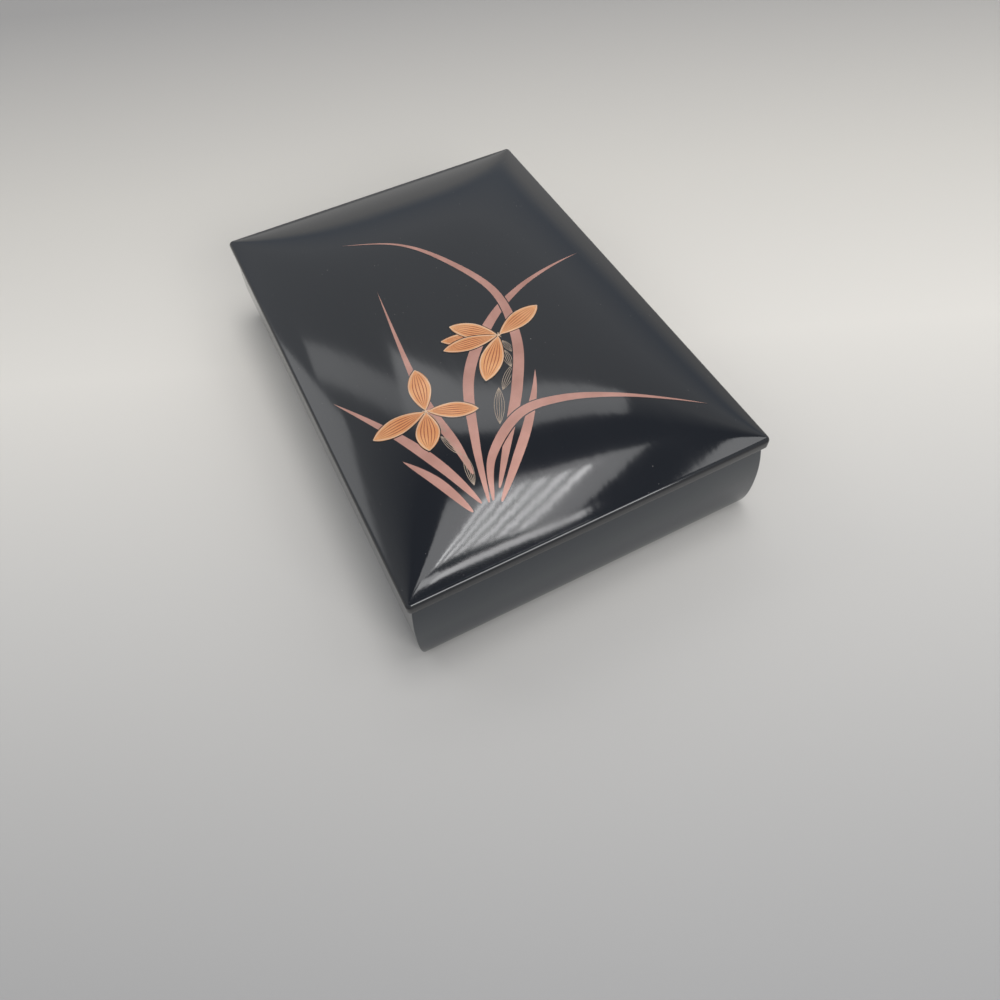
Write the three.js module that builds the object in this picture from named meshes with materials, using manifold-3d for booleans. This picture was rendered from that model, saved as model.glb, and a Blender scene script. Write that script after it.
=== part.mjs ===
// Lacquer letter box with a domed lift-off lid, built on a joiner's wooden core.
// Millimetres, +Z up. The origin is the centre of the underside, X runs across the
// short side, Y along the long side, and -Y is the front.
import * as THREE from "three";
import { mergeVertices } from "three/addons/utils/BufferGeometryUtils.js";
import Module from "manifold-3d";

// Overall sizes. An inset is measured inwards from the lid's outer edge.
const LID_WIDTH = 178;
const LID_LENGTH = 258;
const WALL_HEIGHT = 47;

// Bowed walls: narrow under the lid, fullest at the belly, drawn in at the foot.
const WALL_TOP_INSET = 3;
const BELLY_INSET = 0.5;
const BELLY_HEIGHT = 23;
const FOOT_INSET = 7.5;
const FOOT_CURVE = 1.8;
const WALL_INNER_INSET = 10;
const BELLY_STEPS = 8;
const FOOT_STEPS = 12;

// Floor board with a tongue that runs in a groove round the walls.
const FLOOR_THICKNESS = 6;
const TONGUE_BOTTOM = 1.6;
const TONGUE_THICKNESS = 3;
const TONGUE_DEPTH = 2;
const FLOOR_CLEARANCE = 0.1;

// Inner rim: strips that line the walls and stand up into the lid.
const RIM_THICKNESS = 2.2;
const RIM_STAND = 4;
const RIM_ROUND_STEPS = 6;

// Corner keys: thin slips let in across each mitre, as high up as these values say.
const KEY_HEIGHTS = [15, 32];
const KEY_THICKNESS = 1.6;
const KEY_REACH = 14;
const KEY_RECESS = 0.25;
const KEY_CLEARANCE = 0.1;

// Lid: a mitred rail frame with a domed panel planted on it, hollowed beneath.
const LID_SEAT_GAP = 0.2;
const LID_SIDE_CLEARANCE = 0.35;
const RAIL_HEIGHT = 3.2;
const RAIL_EDGE_ROUND = 0.5;
const PANEL_EDGE = 0.6;
const SHOULDER_RADIUS = 2.4;
const SHOULDER_STEPS = 5;
const CROWN_RISE = 10;
const CROWN_POWER = 3.2;
const HIP_SOFTNESS = 3;
const PANEL_THICKNESS = 4.5;
const HOLLOW_CORNER_RADIUS = 2;
const DOME_RINGS = 15;
const HOLLOW_RINGS = 10;
const RIDGE_HALF_WIDTH = 2;

// Rings round the lid and the floor.
const CORNER_STEPS = 4;
const SIDE_STEPS = 12;
const SHARP_CORNER = 0.2;

const halfX = LID_WIDTH / 2;
const halfY = LID_LENGTH / 2;
const railInset = WALL_INNER_INSET - LID_SIDE_CLEARANCE;
const lidSeat = WALL_HEIGHT + LID_SEAT_GAP;

const wasm = await Module();
wasm.setup();

const lacquer = () =>
  new THREE.MeshStandardMaterial({ color: 0x0b0c0e, roughness: 0.06, metalness: 0 });
const bareWood = () =>
  new THREE.MeshStandardMaterial({ color: 0xb98f5e, roughness: 0.7, metalness: 0 });

// A closed geometry from points and triangles, turned so that its faces point out.
function closedGeometry(points, triangles) {
  let volume = 0;
  for (const [a, b, c] of triangles) {
    volume += points[a].dot(new THREE.Vector3().crossVectors(points[b], points[c]));
  }
  const facing = volume < 0 ? triangles.map(([a, b, c]) => [a, c, b]) : triangles;
  const geometry = new THREE.BufferGeometry().setFromPoints(points);
  geometry.setIndex(facing.flat());
  return geometry;
}

// The triangles that close a ring, all turning the way that the ring turns.
// flatten gives the plane point of a ring point.
function closing(ring, flatten) {
  const plan = ring.map(flatten);
  const turn = Math.sign(THREE.ShapeUtils.area(plan));
  return THREE.ShapeUtils.triangulateShape(plan, []).map(([a, b, c]) =>
    THREE.ShapeUtils.area([plan[a], plan[b], plan[c]]) * turn > 0 ? [a, b, c] : [a, c, b],
  );
}

// Skins a run of rings that all hold as many points, and closes both ends.
function loft(rings, flatten) {
  const count = rings[0].length;
  const triangles = [];
  for (let r = 0; r + 1 < rings.length; r += 1) {
    for (let i = 0; i < count; i += 1) {
      const a = r * count + i;
      const b = r * count + ((i + 1) % count);
      triangles.push([a, b, b + count], [a, b + count, a + count]);
    }
  }
  const last = (rings.length - 1) * count;
  for (const [a, b, c] of closing(rings[0], flatten)) {
    triangles.push([c, b, a]);
  }
  for (const [a, b, c] of closing(rings.at(-1), flatten)) {
    triangles.push([last + a, last + b, last + c]);
  }
  return closedGeometry(rings.flat(), triangles);
}

const planPoint = (p) => new THREE.Vector2(p.x, p.y);

// A round-cornered rectangle seen from above, at an inset from the lid's edge.
// height gives the z of each of its points.
function ringAt(inset, radius, height) {
  const x = halfX - inset - radius;
  const y = halfY - inset - radius;
  const corners = [[x, y], [-x, y], [-x, -y], [x, -y]];
  const ring = [];
  corners.forEach(([cx, cy], corner) => {
    const start = (corner * Math.PI) / 2;
    for (let i = 0; i <= CORNER_STEPS; i += 1) {
      const angle = start + (i / CORNER_STEPS) * (Math.PI / 2);
      ring.push([cx + radius * Math.cos(angle), cy + radius * Math.sin(angle)]);
    }
    const [nx, ny] = corners[(corner + 1) % 4];
    const along = start + Math.PI / 2;
    const from = [cx + radius * Math.cos(along), cy + radius * Math.sin(along)];
    const to = [nx + radius * Math.cos(along), ny + radius * Math.sin(along)];
    for (let i = 1; i < SIDE_STEPS; i += 1) {
      const share = (1 - Math.cos((Math.PI * i) / SIDE_STEPS)) / 2;
      ring.push([from[0] + share * (to[0] - from[0]), from[1] + share * (to[1] - from[1])]);
    }
  });
  return ring.map(([px, py]) => new THREE.Vector3(px, py, height(px, py)));
}

// The wall's outer face, as insets and heights from the top down to the foot.
function wallFace() {
  const face = [];
  for (let i = 0; i < BELLY_STEPS; i += 1) {
    const up = 1 - i / BELLY_STEPS;
    const inset = BELLY_INSET + (WALL_TOP_INSET - BELLY_INSET) * up ** 2;
    face.push(new THREE.Vector2(inset, BELLY_HEIGHT + (WALL_HEIGHT - BELLY_HEIGHT) * up));
  }
  for (let i = 0; i <= FOOT_STEPS; i += 1) {
    const turn = ((i / FOOT_STEPS) * Math.PI) / 2;
    const down = Math.sin(turn) ** (2 / FOOT_CURVE);
    const drawnIn = 1 - Math.max(Math.cos(turn), 0) ** (2 / FOOT_CURVE);
    const inset = BELLY_INSET + (FOOT_INSET - BELLY_INSET) * drawnIn;
    face.push(new THREE.Vector2(inset, BELLY_HEIGHT * (1 - down)));
  }
  return face;
}

// The outer face's inset at a height, read off the same points.
function wallInsetAt(z) {
  const face = wallFace();
  const below = face.findIndex((p) => p.y <= z);
  const low = face[below];
  const high = face[below - 1];
  return low.x + ((high.x - low.x) * (z - low.y)) / (high.y - low.y);
}

// A board along one side of the box, with both ends cut to the corner's mitre.
// section holds its insets and heights, side is front, back, left or right.
function mitredBoard(section, side) {
  const place = {
    front: (end, p) => [end * (halfX - p.x), -(halfY - p.x)],
    back: (end, p) => [end * (halfX - p.x), halfY - p.x],
    left: (end, p) => [-(halfX - p.x), end * (halfY - p.x)],
    right: (end, p) => [halfX - p.x, end * (halfY - p.x)],
  }[side];
  const ends = [-1, 1].map((end) =>
    section.map((p) => new THREE.Vector3(...place(end, p), p.y)),
  );
  return loft(ends, (p) => new THREE.Vector2(p.x, p.z));
}

// Wall section: bowed outside, upright inside, with the groove for the floor's tongue.
function wallSection() {
  const grooveInset = WALL_INNER_INSET - TONGUE_DEPTH - FLOOR_CLEARANCE;
  const grooveLow = TONGUE_BOTTOM - FLOOR_CLEARANCE;
  const grooveHigh = TONGUE_BOTTOM + TONGUE_THICKNESS + FLOOR_CLEARANCE;
  return [
    ...wallFace(),
    new THREE.Vector2(WALL_INNER_INSET, 0),
    new THREE.Vector2(WALL_INNER_INSET, grooveLow),
    new THREE.Vector2(grooveInset, grooveLow),
    new THREE.Vector2(grooveInset, grooveHigh),
    new THREE.Vector2(WALL_INNER_INSET, grooveHigh),
    new THREE.Vector2(WALL_INNER_INSET, WALL_HEIGHT),
  ];
}

// Rim section: a strip on the floor board with a rounded top edge.
function rimSection() {
  const radius = RIM_THICKNESS / 2;
  const middle = WALL_INNER_INSET + radius;
  const section = [
    new THREE.Vector2(WALL_INNER_INSET, FLOOR_THICKNESS),
    new THREE.Vector2(WALL_INNER_INSET + RIM_THICKNESS, FLOOR_THICKNESS),
  ];
  for (let i = 0; i <= RIM_ROUND_STEPS; i += 1) {
    const angle = (i / RIM_ROUND_STEPS) * Math.PI;
    section.push(
      new THREE.Vector2(
        middle + radius * Math.cos(angle),
        WALL_HEIGHT + RIM_STAND - radius + radius * Math.sin(angle),
      ),
    );
  }
  return section;
}

// Lid rail section, eased along its lower outer edge, in the lid's own heights.
function railSection() {
  return [
    new THREE.Vector2(RAIL_EDGE_ROUND, 0),
    new THREE.Vector2(railInset, 0),
    new THREE.Vector2(railInset, RAIL_HEIGHT),
    new THREE.Vector2(0, RAIL_HEIGHT),
    new THREE.Vector2(0, RAIL_EDGE_ROUND),
  ];
}

// A slip across one corner, grown by a clearance when it is the cut for it.
function cornerKey(signX, signY, height, clearance, recess) {
  const levels = [height - clearance, height + KEY_THICKNESS + clearance];
  const rings = levels.map((z) => {
    const inset = wallInsetAt(height) + recess;
    const reach = KEY_REACH + clearance;
    return [
      [halfX - inset, halfY - inset],
      [halfX - reach + inset, halfY - inset],
      [halfX - inset, halfY - reach + inset],
    ].map(([x, y]) => new THREE.Vector3(signX * x, signY * y, z));
  });
  return loft(rings, planPoint);
}

function manifoldOf(geometry) {
  const merged = mergeVertices(geometry.clone());
  return new wasm.Manifold(
    new wasm.Mesh({
      numProp: 3,
      vertProperties: merged.attributes.position.array,
      triVerts: new Uint32Array(merged.index.array),
    }),
  );
}

function geometryOf(solid) {
  const mesh = solid.getMesh();
  const geometry = new THREE.BufferGeometry();
  geometry.setAttribute("position", new THREE.BufferAttribute(mesh.vertProperties, 3));
  geometry.setIndex(new THREE.BufferAttribute(mesh.triVerts, 1));
  return geometry;
}

// A bowed wall with the slots for the keys at its two corners.
function wallBoard(side) {
  let solid = manifoldOf(mitredBoard(wallSection(), side));
  for (const signX of [-1, 1]) {
    for (const signY of [-1, 1]) {
      for (const height of KEY_HEIGHTS) {
        const slot = cornerKey(signX, signY, height, KEY_CLEARANCE, -FOOT_INSET);
        solid = solid.subtract(manifoldOf(slot));
      }
    }
  }
  return geometryOf(solid);
}

// Floor board: stepped edge, with the tongue half way up.
function floorBoard() {
  const edge = WALL_INNER_INSET + FLOOR_CLEARANCE;
  const tongue = WALL_INNER_INSET - TONGUE_DEPTH;
  const tongueTop = TONGUE_BOTTOM + TONGUE_THICKNESS;
  const steps = [
    [edge, 0],
    [edge, TONGUE_BOTTOM],
    [tongue, TONGUE_BOTTOM],
    [tongue, tongueTop],
    [edge, tongueTop],
    [edge, FLOOR_THICKNESS],
  ];
  return loft(
    steps.map(([inset, z]) => {
      const x = halfX - inset;
      const y = halfY - inset;
      return [[x, y], [-x, y], [-x, -y], [x, -y]].map(
        ([px, py]) => new THREE.Vector3(px, py, z),
      );
    }),
    planPoint,
  );
}

// Height of the dome over the lid's seat: each side falls away to its own edge, and
// the two falls meet in a hip that is crisp at the corner and fades inwards.
const crownSlope = Math.atan((CROWN_RISE * CROWN_POWER) / halfX);
const domeInset = SHOULDER_RADIUS * (1 - Math.sin(crownSlope));
const domeFoot = RAIL_HEIGHT + PANEL_EDGE + SHOULDER_RADIUS * Math.cos(crownSlope);

function domeHeight(x, y) {
  const fall = (distance) => {
    const inwards = THREE.MathUtils.clamp((distance - domeInset) / (halfX - domeInset), 1e-4, 1);
    return 1 - (1 - inwards) ** CROWN_POWER;
  };
  const across = fall(halfX - Math.abs(x));
  const along = fall(halfY - Math.abs(y));
  const both = across ** -HIP_SOFTNESS + along ** -HIP_SOFTNESS - 1;
  return domeFoot + CROWN_RISE * both ** (-1 / HIP_SOFTNESS);
}

// Insets that start close together at the edge and widen towards the middle.
function spreadInsets(first, last, count) {
  const insets = [];
  for (let i = 0; i <= count; i += 1) {
    insets.push(first + (last - first) * (1 - Math.cos(((i / count) * Math.PI) / 2)));
  }
  return insets;
}

// The panel in one skin: over the hollow's ceiling, down to the seat on the rails,
// out to the edge, up round the shoulder and in over the dome.
function lidPanel() {
  const innermost = halfX - RIDGE_HALF_WIDTH;
  const hollowCorner = (inset) =>
    Math.max(HOLLOW_CORNER_RADIUS - (inset - railInset), SHARP_CORNER);
  const ceiling = spreadInsets(railInset, innermost, HOLLOW_RINGS)
    .reverse()
    .map((inset) =>
      ringAt(inset, hollowCorner(inset), (x, y) => domeHeight(x, y) - PANEL_THICKNESS),
    );
  const seat = [
    ringAt(railInset, HOLLOW_CORNER_RADIUS, () => RAIL_HEIGHT),
    ringAt(0, SHOULDER_RADIUS, () => RAIL_HEIGHT),
  ];
  const shoulder = [];
  for (let i = 0; i < SHOULDER_STEPS; i += 1) {
    const turn = (i / SHOULDER_STEPS) * (Math.PI / 2 - crownSlope);
    const inset = SHOULDER_RADIUS * (1 - Math.cos(turn));
    const z = RAIL_HEIGHT + PANEL_EDGE + SHOULDER_RADIUS * Math.sin(turn);
    shoulder.push(ringAt(inset, SHOULDER_RADIUS - inset, () => z));
  }
  const dome = spreadInsets(domeInset, innermost, DOME_RINGS).map((inset) =>
    ringAt(inset, Math.max(SHOULDER_RADIUS - inset, SHARP_CORNER), domeHeight),
  );
  return loft([...ceiling, ...seat, ...shoulder, ...dome], planPoint);
}

function namedMesh(name, geometry, material) {
  const mesh = new THREE.Mesh(geometry, material);
  mesh.name = name;
  mesh.geometry.computeVertexNormals();
  return mesh;
}

const SIDES = ["front", "back", "left", "right"];

function boxBody() {
  const body = new THREE.Group();
  body.add(namedMesh("floor_board", floorBoard(), lacquer()));
  for (const side of SIDES) {
    body.add(namedMesh(`${side}_wall`, wallBoard(side), lacquer()));
    body.add(namedMesh(`${side}_inner_rim`, mitredBoard(rimSection(), side), lacquer()));
  }
  const corners = { front_left: [-1, -1], front_right: [1, -1], back_left: [-1, 1], back_right: [1, 1] };
  for (const [corner, [signX, signY]] of Object.entries(corners)) {
    KEY_HEIGHTS.forEach((height, level) => {
      const key = cornerKey(signX, signY, height, 0, KEY_RECESS);
      body.add(namedMesh(`corner_key_${corner}_${level + 1}`, key, bareWood()));
    });
  }
  return body;
}

function lid() {
  const cover = new THREE.Group();
  cover.position.z = lidSeat;
  cover.add(namedMesh("lid_panel", lidPanel(), lacquer()));
  for (const side of SIDES) {
    cover.add(namedMesh(`lid_${side}_rail`, mitredBoard(railSection(), side), lacquer()));
  }
  return cover;
}

const lacquerBox = new THREE.Group();
lacquerBox.add(boxBody(), lid());

export default lacquerBox;
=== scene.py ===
"""Looks of a black lacquer letter box with a domed lift-off lid and a spray in gold and copper powder."""
import math

import bpy
from mathutils import Matrix, Vector


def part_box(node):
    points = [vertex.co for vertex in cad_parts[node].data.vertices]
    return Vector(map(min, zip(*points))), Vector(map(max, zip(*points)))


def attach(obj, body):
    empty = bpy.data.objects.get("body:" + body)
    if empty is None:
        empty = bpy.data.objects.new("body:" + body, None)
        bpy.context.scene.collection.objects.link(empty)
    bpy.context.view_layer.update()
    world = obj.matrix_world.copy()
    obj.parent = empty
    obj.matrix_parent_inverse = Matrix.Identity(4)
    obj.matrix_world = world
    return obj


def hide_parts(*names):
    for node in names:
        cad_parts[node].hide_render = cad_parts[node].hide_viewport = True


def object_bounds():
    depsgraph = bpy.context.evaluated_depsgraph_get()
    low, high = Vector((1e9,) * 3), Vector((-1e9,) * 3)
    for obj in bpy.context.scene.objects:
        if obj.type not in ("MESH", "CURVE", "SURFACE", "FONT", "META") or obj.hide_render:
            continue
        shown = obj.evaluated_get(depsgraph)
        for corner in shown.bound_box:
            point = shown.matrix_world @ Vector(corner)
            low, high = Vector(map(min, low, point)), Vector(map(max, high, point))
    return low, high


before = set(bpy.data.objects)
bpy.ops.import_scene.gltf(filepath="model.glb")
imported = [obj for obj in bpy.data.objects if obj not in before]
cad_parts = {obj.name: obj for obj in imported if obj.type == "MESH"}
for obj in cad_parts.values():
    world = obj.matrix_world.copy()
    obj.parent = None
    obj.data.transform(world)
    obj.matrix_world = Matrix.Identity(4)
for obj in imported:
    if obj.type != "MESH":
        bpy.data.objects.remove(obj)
cad_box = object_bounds()
bpy.ops.object.select_all(action="DESELECT")

MM = 0.001
QUARTER_TURN = math.pi / 2

# Sizes of the box, in metres, as the frame has them. The lid has a little play round the inner rims.
(LOW_X, LOW_Y, _), (HIGH_X, HIGH_Y, _) = cad_box
HALF_X = (HIGH_X - LOW_X) / 2
HALF_Y = (HIGH_Y - LOW_Y) / 2
WALL_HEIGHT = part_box("front_wall")[1][2]
LID_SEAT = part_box("lid_front_rail")[0][2]
PANEL_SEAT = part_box("lid_panel")[0][2]
WALL_INNER_INSET = HALF_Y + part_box("front_inner_rim")[0][1]
LID_PLAY = 0.35 * MM
RAIL_WIDTH = WALL_INNER_INSET - LID_PLAY

# Bowed walls: inset from the lid's edge at the top, the belly and the foot.
WALL_TOP_INSET = 2.4 * MM
BELLY_INSET = 0.2 * MM
BELLY_HEIGHT = 22 * MM
FOOT_INSET = 4.8 * MM
FOOT_CURVE = 2.5
UPPER_WALL_CURVE = 2
WALL_CORNER_RADIUS = 0.6 * MM
WALL_INNER_CORNER = 0.3 * MM

# Lid: short upright edge, round shoulder, dome, and the hollow beneath.
SHOULDER_RADIUS = 2.4 * MM
PANEL_EDGE = 0.6 * MM
CROWN_RISE = 9.8 * MM
CROWN_POWER = 3.2
CROWN_SLOPE = math.atan(CROWN_RISE * CROWN_POWER / HALF_X)
HIP_SOFTNESS = 3.0
LEAST_INWARDS = 1e-4
DOME_INSET = SHOULDER_RADIUS * (1 - math.sin(CROWN_SLOPE))
DOME_FOOT = PANEL_SEAT + PANEL_EDGE + SHOULDER_RADIUS * math.cos(CROWN_SLOPE)
PANEL_THICKNESS = 4.5 * MM
RAIL_EDGE_ROUND = 0.5 * MM
HOLLOW_CORNER = 2.0 * MM
SHARPEST_CORNER = 0.1 * MM
RIDGE_HALF_WIDTH = 0.5 * MM
INNERMOST_RING = HALF_X - RIDGE_HALF_WIDTH

# How finely the coats are made: points round each corner and along each side of a ring,
# and rings over each stretch of the section.
CORNER_STEPS = 10
SIDE_STEPS = 60
HOLLOW_RINGS = 30
EASED_EDGE_RINGS = 4
SHOULDER_RINGS = 14
DOME_RINGS = 60
FOOT_RINGS = 28
UPPER_WALL_RINGS = 20
MERGE_DISTANCE = 0.001 * MM
COAT_SHARP_ANGLE = 40.0

# Camera: where the photograph was taken from, in metres and degrees, with its lens in millimetres.
CAMERA_PLACE = (-0.1056, -0.2698, 0.3319)
CAMERA_AZIMUTH = 23.24
CAMERA_TILT = 56.51
CAMERA_ROLL = -4.36
CAMERA_LENS = 27.97
SENSOR_WIDTH = 36.0

# Finishes: what all lacquers share, and what all powders share.
LACQUER_IOR = 1.52
DUST_COLOR = (0.16, 0.15, 0.14)
RIPPLE_STRENGTH = 0.3
RIPPLE_DEPTH = 0.1 * MM
POWDER_METALLIC = 0.35
POWDER_COAT = 0.25
POWDER_COAT_ROUGHNESS = 0.12
POWDER_GRAIN_SHARE = 0.35
POWDER_GRAIN_STRENGTH = 0.15
POWDER_GRAIN_DEPTH = 0.05 * MM

# Kinds of node group socket, and the colour mix node's factor, two colours and result by number.
VALUE = "NodeSocketFloat"
COLOR = "NodeSocketColor"
VECTOR = "NodeSocketVector"
MIX_INPUTS = (0, 6, 7)
MIX_RESULT = 2


def opaque(color):
    return (*color, 1.0)


def set_inputs(tree, node, inputs):
    """Fills a node's inputs. Another node's output is linked, and anything else is written as a value."""
    for name, value in inputs.items():
        if isinstance(value, bpy.types.NodeSocket):
            tree.links.new(value, node.inputs[name])
        else:
            node.inputs[name].default_value = value


def add_node(tree, kind, inputs):
    node = tree.nodes.new(kind)
    set_inputs(tree, node, inputs)
    return node


def object_noise(tree, scale, detail, stretch=(1.0, 1.0, 1.0)):
    """Noise in the object's own metres. A stretch below 1 lengthens its grain along that axis."""
    place = tree.nodes.new("ShaderNodeTexCoord")
    mapping = add_node(tree, "ShaderNodeMapping", {"Vector": place.outputs["Object"], "Scale": stretch})
    vector = mapping.outputs["Vector"]
    return add_node(tree, "ShaderNodeTexNoise", {"Vector": vector, "Scale": scale, "Detail": detail})


def share_between(tree, source, low, high):
    """How far source is from low to high, as a share that stays within 0 and 1."""
    inputs = {"Value": source, "From Min": low, "From Max": high}
    return add_node(tree, "ShaderNodeMapRange", inputs).outputs["Result"]


def color_mix(tree, factor, first, second, blend="MIX"):
    """Two colours mixed by a factor."""
    mix = tree.nodes.new("ShaderNodeMix")
    mix.data_type = "RGBA"
    mix.blend_type = blend
    set_inputs(tree, mix, dict(zip(MIX_INPUTS, (factor, first, second))))
    return mix.outputs[MIX_RESULT]


def tone_ramp(tree, source, stops):
    """A colour ramp on source. Its stops are places and colours, in rising order."""
    ramp = add_node(tree, "ShaderNodeValToRGB", {"Fac": source})
    elements = ramp.color_ramp.elements
    for element, (position, color) in zip(elements, (stops[0], stops[-1])):
        element.position = position
        element.color = opaque(color)
    for position, color in stops[1:-1]:
        elements.new(position).color = opaque(color)
    return ramp.outputs["Color"]


def start_group(name, inputs, outputs):
    """An empty shader node group with named sockets, the values that it is given, and its end node."""
    group = bpy.data.node_groups.new(name, "ShaderNodeTree")
    for in_out, sockets in (("INPUT", inputs), ("OUTPUT", outputs)):
        for socket_name, kind in sockets.items():
            group.interface.new_socket(socket_name, in_out=in_out, socket_type=kind)
    given = group.nodes.new("NodeGroupInput").outputs
    end = group.nodes.new("NodeGroupOutput")
    return group, given, end


def place_group(tree, group, inputs):
    """The group as one node of a material, with that material's own values."""
    node = tree.nodes.new("ShaderNodeGroup")
    node.node_tree = group
    set_inputs(tree, node, inputs)
    return node


def wiping_marks_group():
    """Faint marks of wiping, long in the box's length: where they show, the gloss is duller."""
    inputs = {"Clean Roughness": VALUE, "Marked Roughness": VALUE}
    group, given, end = start_group("wiping_marks", inputs, {"Roughness": VALUE})
    marks = object_noise(group, scale=34.0, detail=6.0, stretch=(1.0, 0.22, 1.0))
    gloss = add_node(group, "ShaderNodeMapRange", {
        "Value": marks.outputs["Fac"],
        "From Min": 0.35,
        "From Max": 0.75,
        "To Min": given["Clean Roughness"],
        "To Max": given["Marked Roughness"],
    })
    set_inputs(group, end, {"Roughness": gloss.outputs["Result"]})
    return group


def settled_dust_group():
    """Sparse pale specks of dust on a ground colour."""
    group, given, end = start_group("settled_dust", {"Ground": COLOR, "Dust": COLOR}, {"Color": COLOR})
    dust = object_noise(group, scale=900.0, detail=2.0)
    speck = share_between(group, dust.outputs["Fac"], low=0.76, high=0.80)
    set_inputs(group, end, {"Color": color_mix(group, speck, given["Ground"], given["Dust"])})
    return group


def polishing_ripple_group():
    """Very shallow waves that hand polishing leaves, long in the box's length."""
    group, given, end = start_group("polishing_ripple", {"Strength": VALUE}, {"Normal": VECTOR})
    waves = object_noise(group, scale=150.0, detail=2.0, stretch=(1.0, 0.16, 1.0))
    bump = add_node(group, "ShaderNodeBump", {
        "Height": waves.outputs["Fac"],
        "Strength": given["Strength"],
        "Distance": RIPPLE_DEPTH,
    })
    set_inputs(group, end, {"Normal": bump.outputs["Normal"]})
    return group


def sprinkled_powder_group():
    """Fine metal powder: clouds from a dark to a light tone, and a grain in colour and height."""
    inputs = {"Dark": COLOR, "Light": COLOR}
    group, given, end = start_group("sprinkled_powder", inputs, {"Color": COLOR, "Normal": VECTOR})
    clouds = object_noise(group, scale=75.0, detail=4.0)
    grain = object_noise(group, scale=4200.0, detail=2.0)
    cloud_share = share_between(group, clouds.outputs["Fac"], low=0.35, high=0.65)
    tone = color_mix(group, cloud_share, given["Dark"], given["Light"])
    grainy = color_mix(group, POWDER_GRAIN_SHARE, tone, grain.outputs["Color"], blend="MULTIPLY")
    bump = add_node(group, "ShaderNodeBump", {
        "Height": grain.outputs["Fac"],
        "Strength": POWDER_GRAIN_STRENGTH,
        "Distance": POWDER_GRAIN_DEPTH,
    })
    set_inputs(group, end, {"Color": grainy, "Normal": bump.outputs["Normal"]})
    return group


WIPING_MARKS = wiping_marks_group()
SETTLED_DUST = settled_dust_group()
POLISHING_RIPPLE = polishing_ripple_group()
SPRINKLED_POWDER = sprinkled_powder_group()


def make_material(name, color, roughness, metallic=0.0):
    material = bpy.data.materials.new(name)
    material.use_nodes = True
    shader = material.node_tree.nodes["Principled BSDF"]
    plain = {"Base Color": opaque(color), "Roughness": roughness, "Metallic": metallic}
    set_inputs(material.node_tree, shader, plain)
    return material, shader


def lacquer_material(name, color, roughness, haze, coat=0.0):
    """Polished black lacquer: a deep ground, a clear gloss, faint wiping marks and settled dust."""
    material, shader = make_material(name, color, roughness)
    tree = material.node_tree
    marks = place_group(tree, WIPING_MARKS, {
        "Clean Roughness": roughness,
        "Marked Roughness": roughness + haze,
    })
    dust = place_group(tree, SETTLED_DUST, {"Ground": opaque(color), "Dust": opaque(DUST_COLOR)})
    ripple = place_group(tree, POLISHING_RIPPLE, {"Strength": RIPPLE_STRENGTH})
    set_inputs(tree, shader, {
        "IOR": LACQUER_IOR,
        "Coat Weight": coat,
        "Base Color": dust.outputs["Color"],
        "Roughness": marks.outputs["Roughness"],
        "Normal": ripple.outputs["Normal"],
    })
    return material


def powder_material(name, dark, light, roughness):
    """Fine metal powder sprinkled on lacquer: grainy, with cloudy shifts of tone."""
    material, shader = make_material(name, light, roughness, POWDER_METALLIC)
    tree = material.node_tree
    powder = place_group(tree, SPRINKLED_POWDER, {"Dark": opaque(dark), "Light": opaque(light)})
    set_inputs(tree, shader, {
        "Coat Weight": POWDER_COAT,
        "Coat Roughness": POWDER_COAT_ROUGHNESS,
        "Base Color": powder.outputs["Color"],
        "Normal": powder.outputs["Normal"],
    })
    return material


def bare_wood_material():
    """Plain close-grained wood of the core."""
    material, shader = make_material("bare_core_wood", (0.5, 0.34, 0.19), roughness=0.7)
    tree = material.node_tree
    grain = object_noise(tree, scale=260.0, detail=5.0, stretch=(1.0, 0.12, 1.0))
    tones = [(0.3, (0.33, 0.2, 0.1)), (0.7, (0.6, 0.43, 0.26))]
    set_inputs(tree, shader, {"Base Color": tone_ramp(tree, grain.outputs["Fac"], tones)})
    return material


BLACK = lacquer_material("black_lacquer", (0.007, 0.008, 0.0105), roughness=0.068, haze=0.045)
# The walls' lacquer has a lighter, bluer ground than the lid's: a painted sheen that stands for light the
# walls mirror.
WALL_LACQUER_PAINTED_SHEEN = lacquer_material("wall_lacquer_painted_sheen", (0.0115, 0.0165, 0.0225), roughness=0.14, haze=0.06, coat=0.3)
INNER = lacquer_material("inner_lacquer", (0.009, 0.0085, 0.0085), roughness=0.16, haze=0.1)
COPPER = powder_material("copper_powder", (0.46, 0.225, 0.175), (0.57, 0.295, 0.235), roughness=0.42)
ORANGE = powder_material("orange_powder", (0.72, 0.29, 0.1), (0.84, 0.42, 0.185), roughness=0.45)
VEIN = powder_material("red_gold_powder", (0.3, 0.06, 0.02), (0.4, 0.095, 0.035), roughness=0.5)
RIM = powder_material("pale_rim_powder", (0.72, 0.47, 0.3), (0.82, 0.58, 0.4), roughness=0.45)
GOLD_LINE = powder_material("pale_gold_line", (0.36, 0.27, 0.2), (0.5, 0.39, 0.29), roughness=0.4)
WOOD = bare_wood_material()


def select_only(piece):
    bpy.ops.object.select_all(action="DESELECT")
    piece.select_set(True)
    bpy.context.view_layer.objects.active = piece


def tidy_faces(piece, sharp_angle):
    """Merges doubles, turns the faces out and shades smooth but for edges over the angle, in degrees."""
    select_only(piece)
    bpy.ops.object.mode_set(mode="EDIT")
    bpy.ops.mesh.select_all(action="SELECT")
    bpy.ops.mesh.remove_doubles(threshold=MERGE_DISTANCE)
    bpy.ops.mesh.normals_make_consistent(inside=False)
    bpy.ops.object.mode_set(mode="OBJECT")
    bpy.ops.object.shade_smooth_by_angle(angle=math.radians(sharp_angle))


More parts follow.
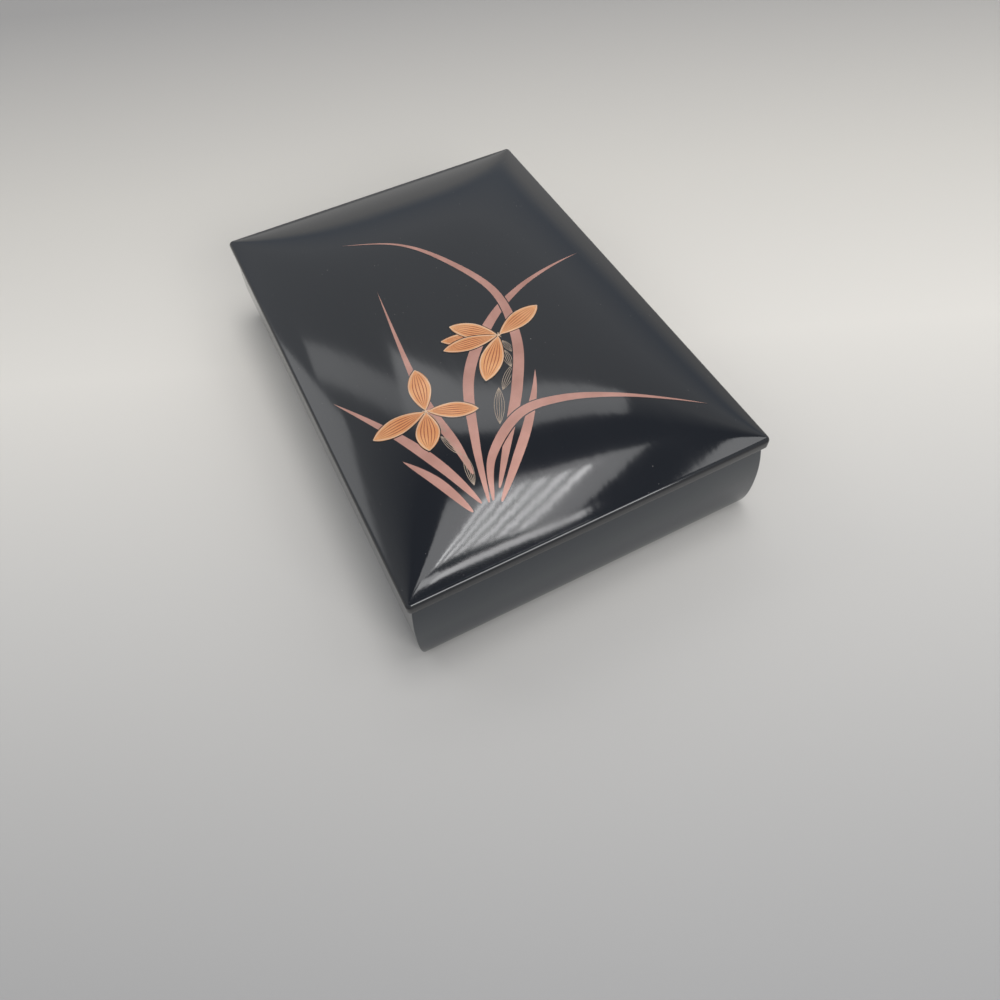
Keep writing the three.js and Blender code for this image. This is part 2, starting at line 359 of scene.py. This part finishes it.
def new_piece(name, points, faces, sharp_angle):
    mesh = bpy.data.meshes.new(name)
    mesh.from_pydata(points, [], faces)
    piece = bpy.data.objects.new(name, mesh)
    bpy.context.collection.objects.link(piece)
    tidy_faces(piece, sharp_angle)
    return piece


def paint(piece, material):
    """Gives a piece its one material."""
    piece.data.materials.clear()
    piece.data.materials.append(material)


def finish_piece(piece, material, slot, body, *nodes):
    """Paints a piece, moves it with its body and hides the nodes it replaces. The slot is not used."""
    paint(piece, material)
    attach(piece, body)
    if nodes:
        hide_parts(*nodes)


def ring_points(inset, radius):
    """A round-cornered rectangle at an inset from the lid's edge, counter-clockwise."""
    x = HALF_X - inset - radius
    y = HALF_Y - inset - radius
    corners = [(x, y), (-x, y), (-x, -y), (x, -y)]
    points = []
    for corner, (center_x, center_y) in enumerate(corners):
        start = corner * QUARTER_TURN
        for i in range(CORNER_STEPS + 1):
            angle = start + i / CORNER_STEPS * QUARTER_TURN
            points.append((center_x + radius * math.cos(angle), center_y + radius * math.sin(angle)))
        next_x, next_y = corners[(corner + 1) % 4]
        side_x, side_y = points[-1]
        for i in range(1, SIDE_STEPS):
            share = (1 - math.cos(math.pi * i / SIDE_STEPS)) / 2
            points.append((side_x + share * (next_x - center_x), side_y + share * (next_y - center_y)))
    return points


def dome_height(x, y):
    """Height of the lid's surface: four falls to the edges that meet in fading hips.

    A place right at an edge counts as a hair further in, because a power of zero would fail there.
    """
    def risen(distance):
        inwards = (distance - DOME_INSET) / (HALF_X - DOME_INSET)
        inwards = min(max(inwards, LEAST_INWARDS), 1.0)
        return 1 - (1 - inwards) ** CROWN_POWER

    both = risen(HALF_X - abs(x)) ** -HIP_SOFTNESS + risen(HALF_Y - abs(y)) ** -HIP_SOFTNESS - 1
    return DOME_FOOT + CROWN_RISE * both ** (-1 / HIP_SOFTNESS)


def flat_ring(inset, radius, z):
    return [(x, y, z) for x, y in ring_points(inset, radius)]


def domed_ring(inset, radius, drop=0.0):
    return [(x, y, dome_height(x, y) - drop) for x, y in ring_points(inset, radius)]


def spread(first, last, count):
    """Values that start close together and widen."""
    return [first + (last - first) * (1 - math.cos(i / count * QUARTER_TURN)) for i in range(count + 1)]


def skin_rings(name, rings, close_ends=True):
    """Skins rings of equal counts into one mesh, and closes its two ends."""
    count = len(rings[0])
    points = [point for ring in rings for point in ring]
    faces = []
    for ring in range(len(rings) - 1):
        for i in range(count):
            here = ring * count + i
            beside = ring * count + (i + 1) % count
            faces.append((here, beside, beside + count, here + count))
    if close_ends:
        faces.append(tuple(reversed(range(count))))
        faces.append(tuple(range(len(points) - count, len(points))))
    return new_piece(name, points, faces, COAT_SHARP_ANGLE)


def hollow_rings():
    """The lid's hollow, from its middle out and down to the rails' inner edge."""
    rings = []
    for inset in reversed(spread(RAIL_WIDTH, INNERMOST_RING, HOLLOW_RINGS)):
        corner = max(HOLLOW_CORNER - (inset - RAIL_WIDTH), SHARPEST_CORNER)
        rings.append(domed_ring(inset, corner, PANEL_THICKNESS))
    rings.append(flat_ring(RAIL_WIDTH, HOLLOW_CORNER, LID_SEAT + RAIL_EDGE_ROUND))
    return rings


def rail_seat_rings():
    """The underside of the rails, between its two eased edges."""
    turns = [i / EASED_EDGE_RINGS * QUARTER_TURN for i in range(EASED_EDGE_RINGS + 1)]
    rings = []
    for turn in turns:
        inset = RAIL_WIDTH - RAIL_EDGE_ROUND * (1 - math.cos(turn))
        rings.append(flat_ring(inset, HOLLOW_CORNER, LID_SEAT + RAIL_EDGE_ROUND * (1 - math.sin(turn))))
    for turn in turns:
        inset = RAIL_EDGE_ROUND * (1 - math.sin(turn))
        z = LID_SEAT + RAIL_EDGE_ROUND * (1 - math.cos(turn))
        rings.append(flat_ring(inset, SHOULDER_RADIUS - inset, z))
    return rings


def shoulder_rings():
    """The round shoulder, from the top of the upright edge to the foot of the dome."""
    rings = []
    for i in range(SHOULDER_RINGS):
        turn = i / SHOULDER_RINGS * (QUARTER_TURN - CROWN_SLOPE)
        inset = SHOULDER_RADIUS * (1 - math.cos(turn))
        z = PANEL_SEAT + PANEL_EDGE + SHOULDER_RADIUS * math.sin(turn)
        rings.append(flat_ring(inset, SHOULDER_RADIUS - inset, z))
    return rings


def dome_rings():
    """The dome, from its foot up to the ridge."""
    insets = spread(DOME_INSET, INNERMOST_RING, DOME_RINGS)
    return [domed_ring(inset, max(SHOULDER_RADIUS - inset, SHARPEST_CORNER)) for inset in insets]


def make_lid_coat():
    """The lid in its continuous coat: hollow, seat, upright edge, shoulder and dome."""
    rings = hollow_rings() + rail_seat_rings() + shoulder_rings() + dome_rings()
    return skin_rings("lid_lacquer_coat", rings)


def wall_face():
    """Insets and heights of the bowed outer face, from the foot up to the top."""
    face = []
    for i in range(FOOT_RINGS):
        turn = (1 - i / FOOT_RINGS) * QUARTER_TURN
        down = math.sin(turn) ** (2 / FOOT_CURVE)
        drawn_in = 1 - max(math.cos(turn), 0.0) ** (2 / FOOT_CURVE)
        face.append((BELLY_INSET + (FOOT_INSET - BELLY_INSET) * drawn_in, BELLY_HEIGHT * (1 - down)))
    for i in range(UPPER_WALL_RINGS + 1):
        up = i / UPPER_WALL_RINGS
        inset = BELLY_INSET + (WALL_TOP_INSET - BELLY_INSET) * up ** UPPER_WALL_CURVE
        face.append((inset, BELLY_HEIGHT + (WALL_HEIGHT - BELLY_HEIGHT) * up))
    return face


def make_wall_coat():
    """The four walls in their continuous coat: a bowed band with crisp, barely eased corners."""
    rings = [flat_ring(WALL_INNER_INSET, WALL_INNER_CORNER, 0.0)]
    rings.extend(flat_ring(inset, WALL_CORNER_RADIUS, z) for inset, z in wall_face())
    rings.append(flat_ring(WALL_INNER_INSET, WALL_INNER_CORNER, WALL_HEIGHT))
    rings.append(rings[0])
    return skin_rings("wall_lacquer_coat", rings, close_ends=False)


# The spray. Places, lengths and widths on the lid are in millimetres from its centre, and
# heights over the dome are in metres. Each layer of powder lies a little over the one below,
# and a band of bare black ground is left round whatever passes in front. A strip's long edges
# drop a little, and its underside sinks into the coat.
LAYER = 0.02 * MM
SINK = 0.12 * MM
EDGE_DROP = 0.006 * MM
EDGE_CURVE = 4
GROUND_DROP = 0.008 * MM
LINE_RISE = 0.011 * MM
GROUND_GAP = 0.55
THINNEST = 0.02
SPRAY_SHARP_ANGLE = 60.0
LINE_ROWS = 2

# Blades: pointed root, full at the widest place, fine tip.
BLADE_ROOT_SHARE = 0.12
BLADE_ROOT_CURVE = 0.8
BLADE_TIP_CURVE = 1.15
BLADE_STEPS = 70
BLADE_ROWS = 4

# Petals: a narrow foot, fullest past the middle, a pointed tip, a rim line and veins.
# Places along a petal are shares of its length, and places across it shares of its half width.
PETAL_ROOT_GAP = 0.8
PETAL_LEAST_SHARE = 0.02
PETAL_FULLEST = 1.12
PETAL_ROUNDNESS = 0.97
PETAL_STEPS = 60
PETAL_ROWS = 14
GROUND_PAST_TIP = 0.8
GROUND_OPENING = 0.3
GROUND_STEPS = 40
GROUND_ROWS = 6
RIM_ACROSS = (-0.94, 0.94)
RIM_ALONG = (0.02, 0.12, 0.25, 0.4, 0.55, 0.7, 0.83, 0.93, 1.0)
RIM_WIDTH = 0.42
RIM_STEPS = 60
VEINS_ACROSS = (-0.58, -0.3, 0.0, 0.3, 0.58)
VEINS_ALONG = (0.1, 0.3, 0.5, 0.7, 0.9)
VEIN_TIP_WIDTH = 0.06
VEIN_SWELL = 0.36
VEIN_STEPS = 36

# Hearts: short tapering rays from the middle of a blossom.
HEART_RAYS = 5
HEART_REACH = 1.9
HEART_TIP_WIDTH = 0.1
HEART_SWELL = 0.7
HEART_STEPS = 8

# Buds: an outline and the folds in it, all in lines of one width.
BUD_ACROSS = (-1.0, -0.5, 0.0, 0.5, 1.0)
BUD_ALONG = (0.0, 0.15, 0.35, 0.6, 0.85, 1.0)
BUD_ROUNDNESS = 0.8
BUD_LINE_WIDTH = 0.24
BUD_STEPS = 30

# Blades, each as points from root to tip, greatest width, where it is widest, and order from below.
BLADES = {
    "blade_arching_right": (
        [(-39, -103), (-31, -74), (-17, -38), (6, -12), (33, 5), (73, 18)], 5.4, 0.5, 1),
    "blade_arching_left": (
        [(-32, -99), (-17, -78), (0, -54), (14, -26), (19, 8), (7, 42), (-10, 66), (-36, 81)], 5.2, 0.3, 2),
    "blade_upright_left": ([(-39, -88), (-39, -70), (-41, -45), (-39, -16), (-33, 37)], 4.6, 0.4, 1),
    "blade_low_left": ([(-42, -102), (-49, -79), (-60, -52), (-78, -17)], 4.7, 0.45, 1),
    "blade_short_left": ([(-47, -104), (-54, -84), (-63, -66)], 4.2, 0.45, 1),
    "blade_upright_middle": ([(-34, -105), (-21, -92), (-7, -77), (5, -61), (12, -49)], 4.4, 0.42, 1),
    "blade_arching_low": (
        [(-37, -103), (-28, -84), (-7, -69), (14, -70), (40, -81), (73, -101)], 4.8, 0.4, 3),
}

# Blossoms, each as its middle and then the angle, length and width of each petal, from the lowest layer up.
BLOSSOMS = {
    "low_blossom": ((-43, -47), [(78, 25, 10.5), (-26, 23, 8.8), (-178, 26, 10), (-110, 21, 11)]),
    "high_blossom": ((7, -21), [(20, 27, 10), (160, 27, 8), (138, 24, 9.6), (173, 27, 8.6), (-128, 29, 11)]),
}
TOP_BLADE_ORDER = max(order for _, _, _, order in BLADES.values())
HEART_ORDER = TOP_BLADE_ORDER + max(len(petals) for _, petals in BLOSSOMS.values()) + 1

# Buds under the high blossom and beside the low one, as foot, tip and width.
BUDS = [
    ((8, -34), (7, -25), 3.0),
    ((3, -42), (5, -31), 3.6),
    ((-7, -53), (5, -41), 4.2),
    ((-17, -70), (-8, -51), 4.6),
    ((-40, -62), (-42, -50), 2.2),
    ((-39, -77), (-43, -63), 3.2),
    ((-41, -93), (-38, -77), 3.6),
]


def curve_point(points, t):
    """A point on the smooth curve through a few points, and its direction there."""
    stretches = len(points) - 1
    first = min(int(t * stretches), stretches - 1)
    s = t * stretches - first
    four = range(first - 1, first + 3)
    before, start, end, after = (Vector(points[min(max(number, 0), stretches)]) for number in four)
    slope = end - before
    bend = 2 * before - 5 * start + 4 * end - after
    twist = 3 * start - before - 3 * end + after
    place = 0.5 * (2 * start + slope * s + bend * s ** 2 + twist * s ** 3)
    way = 0.5 * (slope + 2 * bend * s + 3 * twist * s ** 2)
    return place, way.normalized()


def strip_points(points, width_at, layer, steps, rows, edge_drop):
    """Rows of points across a strip that lies on the dome: first its upper face, then its underside."""
    laid = []
    for upper in (True, False):
        for step in range(steps + 1):
            place, way = curve_point(points, step / steps)
            across = Vector((-way.y, way.x))
            half = max(width_at(step / steps), THINNEST) / 2
            for row in range(rows + 1):
                share = 2 * row / rows - 1
                x, y = (place + across * half * share) * MM
                rise = layer - edge_drop * share ** EDGE_CURVE if upper else -SINK
                laid.append((x, y, dome_height(x, y) + rise))
    return laid


def strip_faces(steps, rows):
    """Faces of a closed strip: upper face, underside, two long edges and two ends."""
    wide = rows + 1
    under = (steps + 1) * wide
    faces = []
    for step in range(steps):
        for row in range(rows):
            here = step * wide + row
            faces.append((here, here + 1, here + 1 + wide, here + wide))
            faces.append((here + under, here + wide + under, here + 1 + wide + under, here + 1 + under))
        left = step * wide
        right = left + rows
        faces.append((left, left + wide, left + wide + under, left + under))
        faces.append((right, right + under, right + wide + under, right + wide))
    for step in (0, steps):
        for row in range(rows):
            here = step * wide + row
            faces.append((here, here + under, here + 1 + under, here + 1))
    return faces


def strip_shell(points, width_at, layer, steps, rows, edge_drop=EDGE_DROP):
    """A closed strip laid on the dome, as points and faces. Its underside sinks into the coat."""
    return strip_points(points, width_at, layer, steps, rows, edge_drop), strip_faces(steps, rows)


def laid_piece(name, shells, material, slot):
    """One piece of the spray, from one or more closed strips."""
    points = []
    faces = []
    for shell_points, shell_faces in shells:
        first = len(points)
        points.extend(shell_points)
        faces.extend(tuple(first + i for i in face) for face in shell_faces)
    finish_piece(new_piece(name, points, faces, SPRAY_SHARP_ANGLE), material, slot, "lid")


def blade_width(width, widest, t):
    """Width of a blade at a share t of its length, from root to tip."""
    if t < widest:
        swell = math.sin(t / widest * QUARTER_TURN) ** BLADE_ROOT_CURVE
        return width * (BLADE_ROOT_SHARE + (1 - BLADE_ROOT_SHARE) * swell)
    return width * math.cos((t - widest) / (1 - widest) * QUARTER_TURN) ** BLADE_TIP_CURVE


def blade(name, points, width, widest, order):
    """A grass blade. One that passes in front has bare ground left along it."""
    def width_at(t):
        return blade_width(width, widest, t)

    def ground_width_at(t):
        return width_at(t) + 2 * GROUND_GAP

    layer = LAYER * order
    if order > 1:
        ground = strip_shell(points, ground_width_at, layer - GROUND_DROP, BLADE_STEPS, BLADE_ROWS, 0.0)
        laid_piece(f"{name}_ground", [ground], BLACK, "black_lacquer")
    laid_piece(name, [strip_shell(points, width_at, layer, BLADE_STEPS, BLADE_ROWS)], COPPER, "copper_gold")


def petal_half_width(width, t):
    """Half of a petal's width at a share t of its length, from foot to tip."""
    swell = math.sin(math.pi * min(t, 1.0) ** PETAL_FULLEST) ** PETAL_ROUNDNESS
    return width / 2 * (swell * (1 - PETAL_LEAST_SHARE) + PETAL_LEAST_SHARE)


def petal_lines(place, across, along, width_at, layer, steps):
    """Fine lines that run the length of a petal, one at each place across it."""
    lines = []
    for share in across:
        line = [place(t, share) for t in along]
        lines.append(strip_shell(line, width_at, layer + LINE_RISE, steps, LINE_ROWS))
    return lines


def petal(name, center, angle, length, width, order):
    """A pointed oval petal with a fine rim and veins, on a ground left bare round it."""
    way = Vector((math.cos(math.radians(angle)), math.sin(math.radians(angle))))
    across = Vector((-way.y, way.x))
    root = Vector(center) + way * PETAL_ROOT_GAP
    past_tip = 1.0 + GROUND_PAST_TIP / length
    layer = LAYER * order

    def place(t, share=0.0):
        return root + way * length * t + across * share * petal_half_width(width, t)

    def width_at(t):
        return 2 * petal_half_width(width, t)

    def ground_width_at(t):
        return width_at(t * past_tip) + 2 * GROUND_GAP * t ** GROUND_OPENING

    def rim_width_at(t):
        return RIM_WIDTH

    def vein_width_at(t):
        return VEIN_SWELL * math.sin(math.pi * t) + VEIN_TIP_WIDTH

    ground_spine = [place(0.0), place(past_tip / 2), place(past_tip)]
    ground = strip_shell(ground_spine, ground_width_at, layer - GROUND_DROP, GROUND_STEPS, GROUND_ROWS, 0.0)
    laid_piece(f"{name}_ground", [ground], BLACK, "black_lacquer")
    spine = [place(0.0), place(0.5), place(1.0)]
    laid_piece(name, [strip_shell(spine, width_at, layer, PETAL_STEPS, PETAL_ROWS)], ORANGE, "orange_gold")
    rims = petal_lines(place, RIM_ACROSS, RIM_ALONG, rim_width_at, layer, RIM_STEPS)
    laid_piece(f"{name}_rim", rims, RIM, "orange_gold")
    veins = petal_lines(place, VEINS_ACROSS, VEINS_ALONG, vein_width_at, layer, VEIN_STEPS)
    laid_piece(f"{name}_veins", veins, VEIN, "orange_gold")


def blossom_heart(name, center):
    """A blossom's heart: short rays from its middle, over all its petals."""
    def width_at(t):
        return HEART_SWELL * (1 - t) + HEART_TIP_WIDTH

    middle = Vector(center)
    rays = []
    for ray in range(HEART_RAYS):
        turn = 2 * math.pi * ray / HEART_RAYS
        reach = Vector((math.cos(turn), math.sin(turn))) * HEART_REACH
        line = [middle, middle + reach / 2, middle + reach]
        rays.append(strip_shell(line, width_at, LAYER * HEART_ORDER, HEART_STEPS, LINE_ROWS))
    laid_piece(name, rays, RIM, "orange_gold")


def line_bud(name, foot, tip, width):
    """A closed bud drawn in fine lines only: its outline and the folds in it."""
    def width_at(t):
        return BUD_LINE_WIDTH

    foot = Vector(foot)
    way = Vector(tip) - foot
    across = Vector((-way.y, way.x)).normalized()
    lines = []
    for share in BUD_ACROSS:
        line = []
        for t in BUD_ALONG:
            line.append(foot + way * t + across * share * width / 2 * math.sin(math.pi * t) ** BUD_ROUNDNESS)
        lines.append(strip_shell(line, width_at, 2 * LINE_RISE, BUD_STEPS, LINE_ROWS))
    laid_piece(name, lines, GOLD_LINE, "copper_gold")


def make_spray():
    """The whole spray, from its lowest layer up."""
    for name, (points, width, widest, order) in BLADES.items():
        blade(name, points, width, widest, order)
    for name, (center, petals) in BLOSSOMS.items():
        for number, (angle, length, width) in enumerate(petals, 1):
            petal(f"{name}_petal_{number}", center, angle, length, width, TOP_BLADE_ORDER + number)
        blossom_heart(f"{name}_heart", center)
    for number, (foot, tip, width) in enumerate(BUDS, 1):
        line_bud(f"line_bud_{number}", foot, tip, width)


# Table: its tones lie along the line in which the photograph looks, from a place in front of the box's
# middle to one behind it, in metres.
FLOOR_SIZE = 6.0
FLOOR_COLOR = (0.58, 0.57, 0.555)
FLOOR_ROUGHNESS = 0.6
FLOOR_TONES_FROM = -0.3
FLOOR_TONES_TO = 0.5
FLOOR_TONES = [
    (0.0, (0.35, 0.342, 0.335)),
    (0.24, (0.55, 0.53, 0.5)),
    (0.42, (0.71, 0.675, 0.62)),
    (0.62, (0.6, 0.57, 0.52)),
    (1.0, (0.34, 0.325, 0.31)),
]

# Room: its tones by the sine of the height over the horizon, which is 1 straight overhead.
ROOM_STRENGTH = 0.7
ROOM_TONES = [
    (0.28, (1.0, 0.99, 0.97)),
    (0.37, (0.6, 0.67, 0.77)),
    (0.52, (1.0, 1.04, 1.09)),
    (0.72, (0.98, 1.01, 1.04)),
    (0.84, (0.3, 0.33, 0.39)),
]

# Level lamp panels overhead, each as place, width and length, turn and power.
# Most of them share one turn, in degrees.
CEILING = 1.46
LAMP_TURN = -33.4
LEVEL_PANELS = {
    "window_glow": ((0.2, 0.11), (0.83, 0.49), LAMP_TURN, 3.6),
    "right_strip": ((0.43, 0.93), (1.05, 0.32), LAMP_TURN, 2.0),
    "left_strip": ((-0.4, 1.38), (0.84, 0.17), LAMP_TURN, 0.56),
    "corner_glow": ((0.9, -0.4), (0.25, 0.35), LAMP_TURN, 0.8),
    "front_line": ((0.25, -0.3), (0.42, 0.07), -10.0, 0.8),
    "front_line_end": ((-0.02, -0.14), (0.36, 0.08), -51.0, 0.5),
}

# A row of narrow panels just under the glow, which the lid mirrors as bars of light.
SLATS = 6
SLAT_SPACING = 0.066
SLAT_SIZE = (0.03, 0.4)
SLAT_POWER = 0.42
SLATS_MIDDLE = (0.26, 0.04)
SLATS_DROP = 0.01

# Soft panels that look at the box, each as place, size and power.
AIMED_PANELS = {
    "soft_left": ((-1.15, 1.35, 1.3), (0.7, 0.7), 2.4),
    "front_fill": ((0.3, -1.6, 1.0), (1.0, 0.6), 13.0),
}


def make_floor():
    """A broad pale table, whose tone falls off a little in front of and behind the box."""
    bpy.ops.object.select_all(action="DESELECT")
    bpy.ops.mesh.primitive_plane_add(size=FLOOR_SIZE, location=(0, 0, 0))
    floor = bpy.context.active_object
    floor.name = "studio_floor"
    material, shader = make_material("pale_floor", FLOOR_COLOR, FLOOR_ROUGHNESS)
    tree = material.node_tree
    place = tree.nodes.new("ShaderNodeTexCoord")
    turn = (0.0, 0.0, math.radians(CAMERA_AZIMUTH))
    turned = add_node(tree, "ShaderNodeMapping", {"Vector": place.outputs["Object"], "Rotation": turn})
    split = add_node(tree, "ShaderNodeSeparateXYZ", {"Vector": turned.outputs["Vector"]})
    along = share_between(tree, split.outputs["Y"], FLOOR_TONES_FROM, FLOOR_TONES_TO)
    set_inputs(tree, shader, {"Base Color": tone_ramp(tree, along, FLOOR_TONES)})
    floor.data.materials.append(material)


def make_world():
    """A soft grey room that is darker overhead."""
    world = bpy.data.worlds.new("soft_room")
    bpy.context.scene.world = world
    world.use_nodes = True
    tree = world.node_tree
    place = tree.nodes.new("ShaderNodeTexCoord")
    split = add_node(tree, "ShaderNodeSeparateXYZ", {"Vector": place.outputs["Generated"]})
    tone = tone_ramp(tree, split.outputs["Z"], ROOM_TONES)
    set_inputs(tree, tree.nodes["Background"], {"Color": tone, "Strength": ROOM_STRENGTH})


def add_panel(name, place, size, power, turn=0.0, aim=None):
    """A soft lamp panel, level and turned about the upright, or looking at aim."""
    data = bpy.data.lights.new(name, "AREA")
    data.shape = "RECTANGLE"
    data.size, data.size_y = size
    data.energy = power
    lamp = bpy.data.objects.new(name, data)
    bpy.context.collection.objects.link(lamp)
    lamp.location = place
    lamp.rotation_euler = (0.0, 0.0, math.radians(turn))
    if aim:
        lamp.rotation_euler = (Vector(aim) - Vector(place)).to_track_quat("-Z", "Y").to_euler()


def make_lights():
    """Level panels overhead, which the lid mirrors as bands and bars, and two soft ones lower down."""
    turn = math.radians(LAMP_TURN)
    along = Vector((math.cos(turn), math.sin(turn), 0.0))
    middle = Vector((*SLATS_MIDDLE, CEILING - SLATS_DROP))
    for slat in range(SLATS):
        place = middle + along * (slat - (SLATS - 1) / 2) * SLAT_SPACING
        add_panel(f"window_slat_{slat + 1}", place, SLAT_SIZE, SLAT_POWER, LAMP_TURN)
    for name, (place, size, turn, power) in LEVEL_PANELS.items():
        add_panel(name, (*place, CEILING), size, power, turn)
    for name, (place, size, power) in AIMED_PANELS.items():
        add_panel(name, place, size, power, aim=(0, 0, 0))


def make_camera():
    """The photograph's viewpoint. Azimuth 0 looks along +Y, and tilt is below the horizon."""
    data = bpy.data.cameras.new("photo_camera")
    data.lens = CAMERA_LENS
    data.sensor_width = SENSOR_WIDTH
    camera = bpy.data.objects.new("photo_camera", data)
    bpy.context.collection.objects.link(camera)
    azimuth = math.radians(CAMERA_AZIMUTH)
    tilt = math.radians(CAMERA_TILT)
    level = math.cos(tilt)
    ahead = Vector((math.sin(azimuth) * level, math.cos(azimuth) * level, -math.sin(tilt)))
    right = Vector((math.cos(azimuth), -math.sin(azimuth), 0.0))
    up = right.cross(ahead)
    roll = math.radians(CAMERA_ROLL)
    right_rolled = math.cos(roll) * right + math.sin(roll) * up
    up_rolled = math.cos(roll) * up - math.sin(roll) * right
    rotation = Matrix((right_rolled, up_rolled, -ahead)).transposed()
    camera.matrix_world = Matrix.Translation(CAMERA_PLACE) @ rotation.to_4x4()
    bpy.context.scene.camera = camera


# The coats stand for the core's outer pieces, whose joints they cover.
finish_piece(make_lid_coat(), BLACK, "black_lacquer", "lid", "lid_panel", "lid_front_rail", "lid_back_rail",
             "lid_left_rail", "lid_right_rail")
finish_piece(make_wall_coat(), WALL_LACQUER_PAINTED_SHEEN, "black_lacquer", "box", "front_wall", "back_wall", "left_wall",
             "right_wall")
for node_name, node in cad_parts.items():
    if "inner_rim" in node_name or node_name == "floor_board":
        paint(node, INNER)
    if "corner_key" in node_name:
        paint(node, WOOD)
make_spray()

make_floor()
make_world()
make_lights()
make_camera()
bpy.context.scene.view_settings.view_transform = "Standard"
